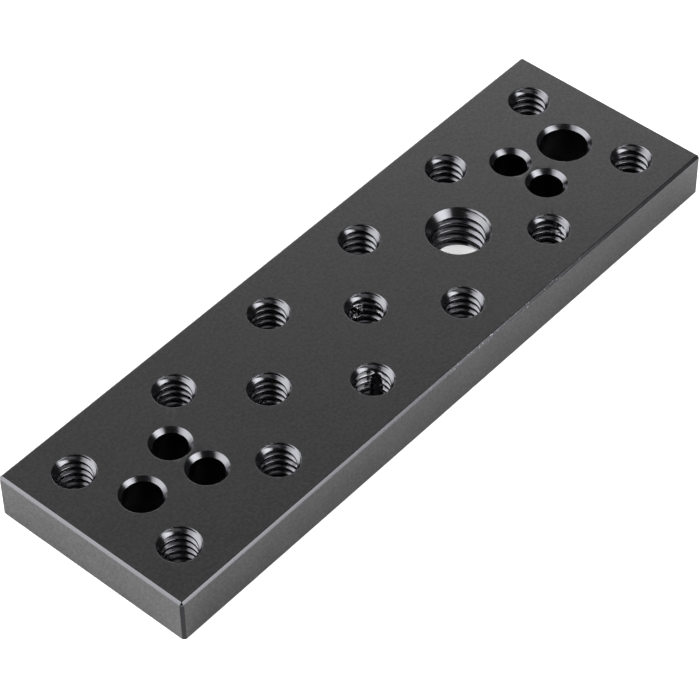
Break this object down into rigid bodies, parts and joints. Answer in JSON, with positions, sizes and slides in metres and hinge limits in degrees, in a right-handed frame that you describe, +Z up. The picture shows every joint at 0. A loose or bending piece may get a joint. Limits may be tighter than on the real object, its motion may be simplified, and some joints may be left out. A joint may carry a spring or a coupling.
{
  "type": "camera cheese plate",
  "caption": "Flat black anodised aluminium bar with rows of tapped through holes and plain countersunk clamp holes, for joining camera accessories.",
  "frame": {"origin": "middle of the plate's underside", "axes": "+X along the plate towards the end with the larger plain hole, +Y across it, +Z up out of the top face"},
  "size_m": [0.115, 0.035, 0.008],
  "materials": {
    "black_anodised_aluminium": "black anodised, satin"
  },
  "bodies": {
    "root": {"plate": "black_anodised_aluminium"}
  },
  "joints": []
}
